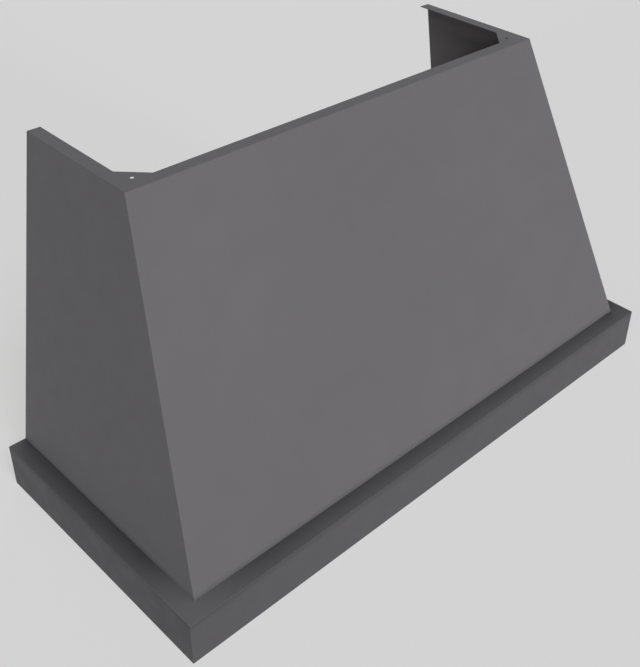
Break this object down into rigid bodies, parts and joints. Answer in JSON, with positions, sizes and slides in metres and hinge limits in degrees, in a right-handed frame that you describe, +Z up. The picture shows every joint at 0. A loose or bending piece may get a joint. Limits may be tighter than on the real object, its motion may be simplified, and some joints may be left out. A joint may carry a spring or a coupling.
{
  "type": "range hood cover",
  "caption": "Sloped wall-mounted range hood cover: painted wooden shell on a timber frame, flat trim band at the foot, thin steel flange with corner gussets round the open top, open back.",
  "frame": {"origin": "bottom centre of the whole cover's box, at the foot of the trim band", "axes": "+X along the wall to the right as seen from the front, +Y into the wall, +Z up; the front looks towards -Y"},
  "size_m": [1.3716, 0.6096, 0.762],
  "materials": {
    "painted_wood": "satin charcoal grey paint over primed plywood and poplar",
    "painted_steel": "satin charcoal grey paint on 1.2 mm sheet",
    "frame_wood": "planed poplar, unpainted",
    "painted_screw": "countersunk head painted over with the flange",
    "screw_zinc": "zinc-plated countersunk head"
  },
  "bodies": {
    "root": {"base_frame_screws": "screw_zinc", "base_front_rail": "painted_wood", "base_left_rail": "painted_wood", "base_rear_rail": "painted_wood", "base_right_rail": "painted_wood", "flange_screws": "painted_screw", "front_left_corner_block": "frame_wood", "front_liner_ledger": "frame_wood", "front_panel": "painted_wood", "front_right_corner_block": "frame_wood", "front_top_flange": "painted_steel", "front_top_rail": "frame_wood", "front_trim_backer": "painted_wood", "front_trim_board": "painted_wood", "ledger_screws": "screw_zinc", "left_corner_gusset": "painted_steel", "left_corner_post": "frame_wood", "left_front_rib": "frame_wood", "left_liner_ledger": "frame_wood", "left_rear_stile": "frame_wood", "left_side_panel": "painted_wood", "left_top_flange": "painted_steel", "left_trim_backer": "painted_wood", "left_trim_board": "painted_wood", "rear_left_corner_block": "frame_wood", "rear_liner_ledger": "frame_wood", "rear_right_corner_block": "frame_wood", "right_corner_gusset": "painted_steel", "right_corner_post": "frame_wood", "right_front_rib": "frame_wood", "right_liner_ledger": "frame_wood", "right_rear_stile": "frame_wood", "right_side_panel": "painted_wood", "right_top_flange": "painted_steel", "right_trim_backer": "painted_wood", "right_trim_board": "painted_wood", "trim_screws": "screw_zinc", "wall_rail": "frame_wood", "wall_rail_screws": "screw_zinc"}
  },
  "joints": []
}
